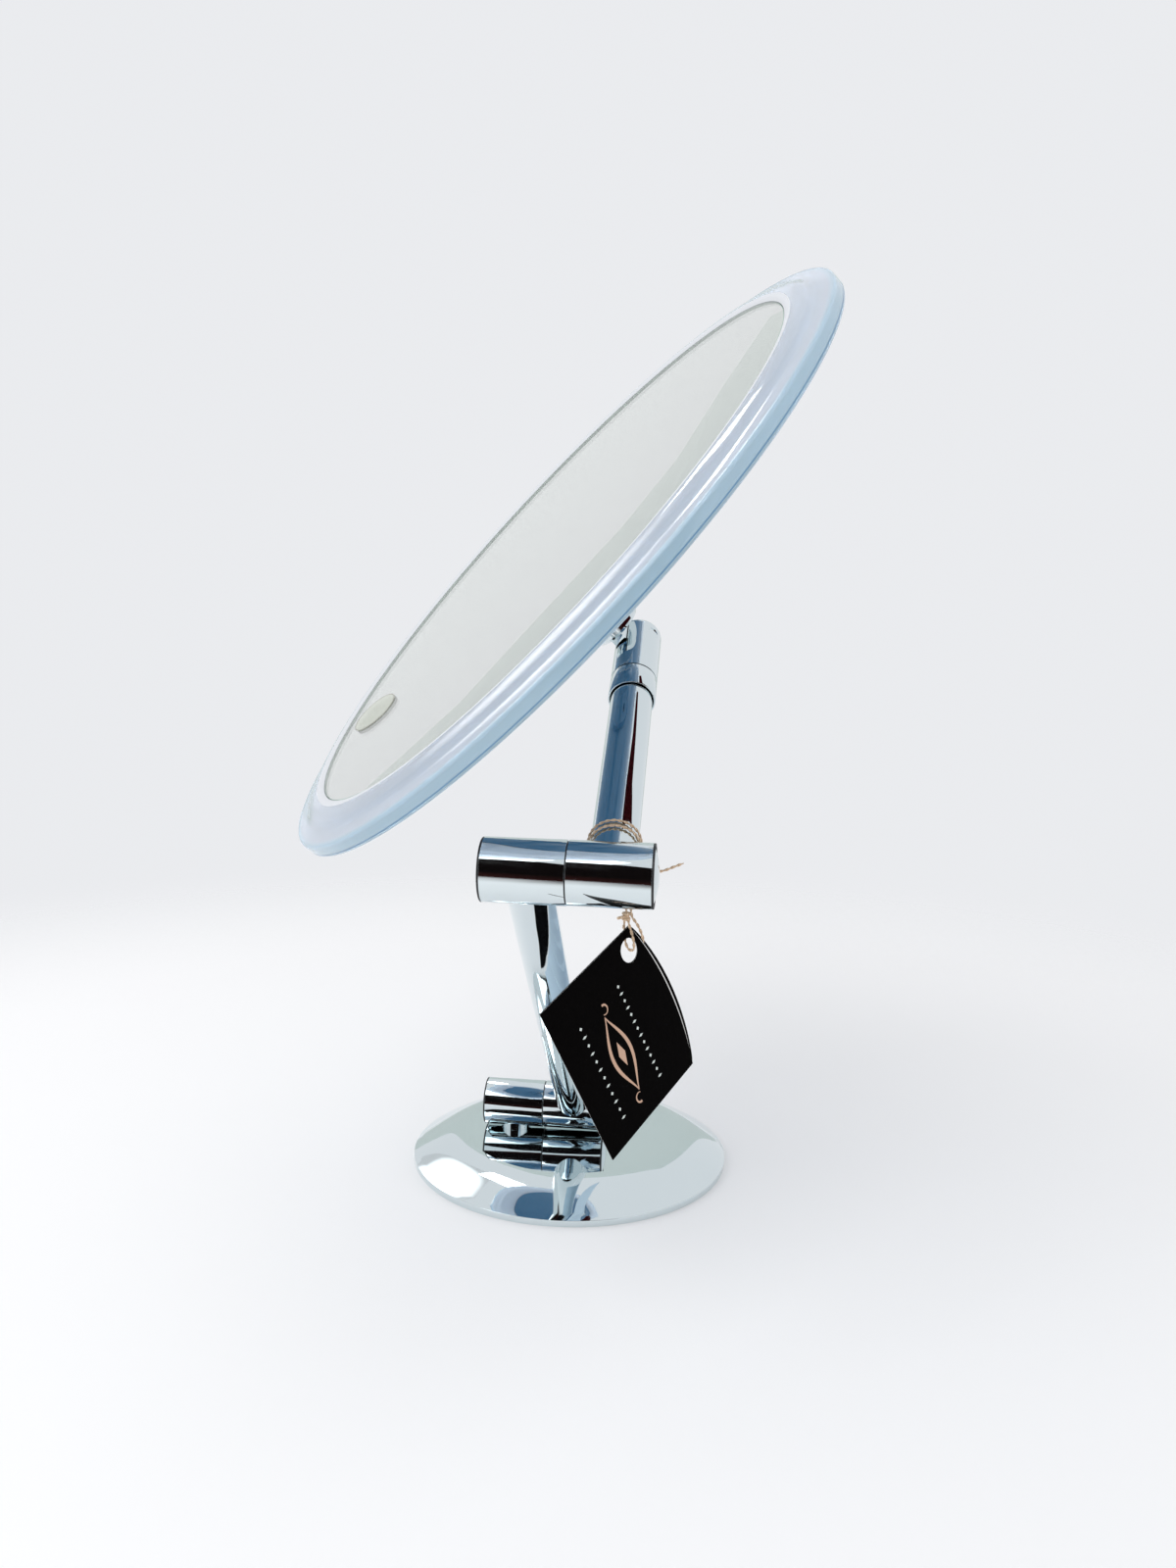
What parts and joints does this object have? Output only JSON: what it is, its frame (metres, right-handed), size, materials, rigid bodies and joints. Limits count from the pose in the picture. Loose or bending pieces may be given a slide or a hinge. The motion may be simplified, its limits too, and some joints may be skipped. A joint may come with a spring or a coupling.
{
  "type": "extendable shaving mirror",
  "caption": "Folding wall-mounted magnifying mirror: round chrome wall plate, two hinged arms, and a round glass in a clear ring on a swivel and tilt head.",
  "frame": {"origin": "centre of the wall plate's back face", "axes": "+Z away from the wall, X along the two arm knuckles, the arms fold in the YZ plane"},
  "size_m": [0.1673, 0.2216, 0.3055],
  "materials": {
    "wall_bracket": "plain turned or pressed",
    "cover_plate": "polished",
    "grub_screw": "plain turned or pressed",
    "post": "polished",
    "post_screw": "plain turned or pressed",
    "base_half_fixed": "polished",
    "base_pivot_bolt": "plain turned or pressed",
    "base_pivot_nut": "plain turned or pressed",
    "base_seam_washer": "nylon",
    "base_spring_washers": "plain turned or pressed",
    "base_cap_left": "polished",
    "base_half_turning": "polished",
    "base_cap_right": "polished",
    "lower_arm_tube": "polished",
    "elbow_half_lower": "polished",
    "elbow_pivot_bolt": "plain turned or pressed",
    "elbow_pivot_nut": "plain turned or pressed",
    "elbow_seam_washer": "nylon",
    "elbow_spring_washers": "plain turned or pressed",
    "elbow_cap_left": "polished",
    "elbow_half_upper": "polished",
    "elbow_cap_right": "polished",
    "upper_arm_tube": "polished",
    "swivel_collar": "polished",
    "tag_front_leaf": "black coated card",
    "tag_back_leaf": "black coated card, white inside",
    "twine": "metallic two-ply twine",
    "twine_tail": "metallic two-ply twine",
    "twine_knot": "metallic two-ply twine",
    "swivel_sleeve": "polished",
    "swivel_stud": "plain turned or pressed",
    "swivel_nut": "plain turned or pressed",
    "swivel_spring": "plain turned or pressed",
    "swivel_washer": "nylon",
    "tilt_pin": "plain turned or pressed",
    "tilt_washers": "nylon",
    "head_boss": "polished",
    "boss_screws": "plain turned or pressed",
    "back_shell": "smooth moulded",
    "foam_ring": "soft closed-cell foam",
    "clear_ring": "clear moulded acrylic with a faint blue tint",
    "mirror_glass": "polished, slightly green",
    "mirror_silvering": "silvered back of the glass",
    "magnification_sticker": "thin translucent label"
  },
  "bodies": {
    "wall_plate": {"wall_bracket": "wall_bracket", "cover_plate": "cover_plate", "grub_screw": "grub_screw", "post": "post", "post_screw": "post_screw", "base_half_fixed": "base_half_fixed", "base_pivot_bolt": "base_pivot_bolt", "base_pivot_nut": "base_pivot_nut", "base_seam_washer": "base_seam_washer", "base_spring_washers": "base_spring_washers", "base_cap_left": "base_cap_left"},
    "lower_arm": {"base_half_turning": "base_half_turning", "base_cap_right": "base_cap_right", "lower_arm_tube": "lower_arm_tube", "elbow_half_lower": "elbow_half_lower", "elbow_pivot_bolt": "elbow_pivot_bolt", "elbow_pivot_nut": "elbow_pivot_nut", "elbow_seam_washer": "elbow_seam_washer", "elbow_spring_washers": "elbow_spring_washers", "elbow_cap_left": "elbow_cap_left"},
    "upper_arm": {"elbow_half_upper": "elbow_half_upper", "elbow_cap_right": "elbow_cap_right", "upper_arm_tube": "upper_arm_tube", "swivel_collar": "swivel_collar", "tag_front_leaf": "tag_front_leaf", "tag_back_leaf": "tag_back_leaf", "twine": "twine", "twine_tail": "twine_tail", "twine_knot": "twine_knot"},
    "swivel": {"swivel_sleeve": "swivel_sleeve", "swivel_stud": "swivel_stud", "swivel_nut": "swivel_nut", "swivel_spring": "swivel_spring", "swivel_washer": "swivel_washer", "tilt_pin": "tilt_pin", "tilt_washers": "tilt_washers"},
    "head": {"head_boss": "head_boss", "boss_screws": "boss_screws", "back_shell": "back_shell", "foam_ring": "foam_ring", "clear_ring": "clear_ring", "mirror_glass": "mirror_glass", "mirror_silvering": "mirror_silvering", "magnification_sticker": "magnification_sticker"}
  },
  "joints": [
    {"name": "base_hinge", "type": "hinge", "parent": "wall_plate", "child": "lower_arm", "pos_m": [-0.0095, 0, 0.0185], "axis": [1, 0, 0], "range_deg": [-75, 30]},
    {"name": "elbow_hinge", "type": "hinge", "parent": "lower_arm", "child": "upper_arm", "pos_m": [0.0124, -0.12882, 0.13247], "axis": [1, 0, 0], "range_deg": [-10, 130]},
    {"name": "head_swivel", "type": "hinge", "parent": "upper_arm", "child": "swivel", "pos_m": [0.02335, -0.04126, 0.19042], "axis": [0, 0.8339, 0.5519], "range_deg": [-40, 130]},
    {"name": "head_tilt", "type": "hinge", "parent": "swivel", "child": "head", "pos_m": [0.02335, -0.04126, 0.19042], "axis": [0.7133, -0.3869, 0.5845], "range_deg": [-145, 5]}
  ]
}
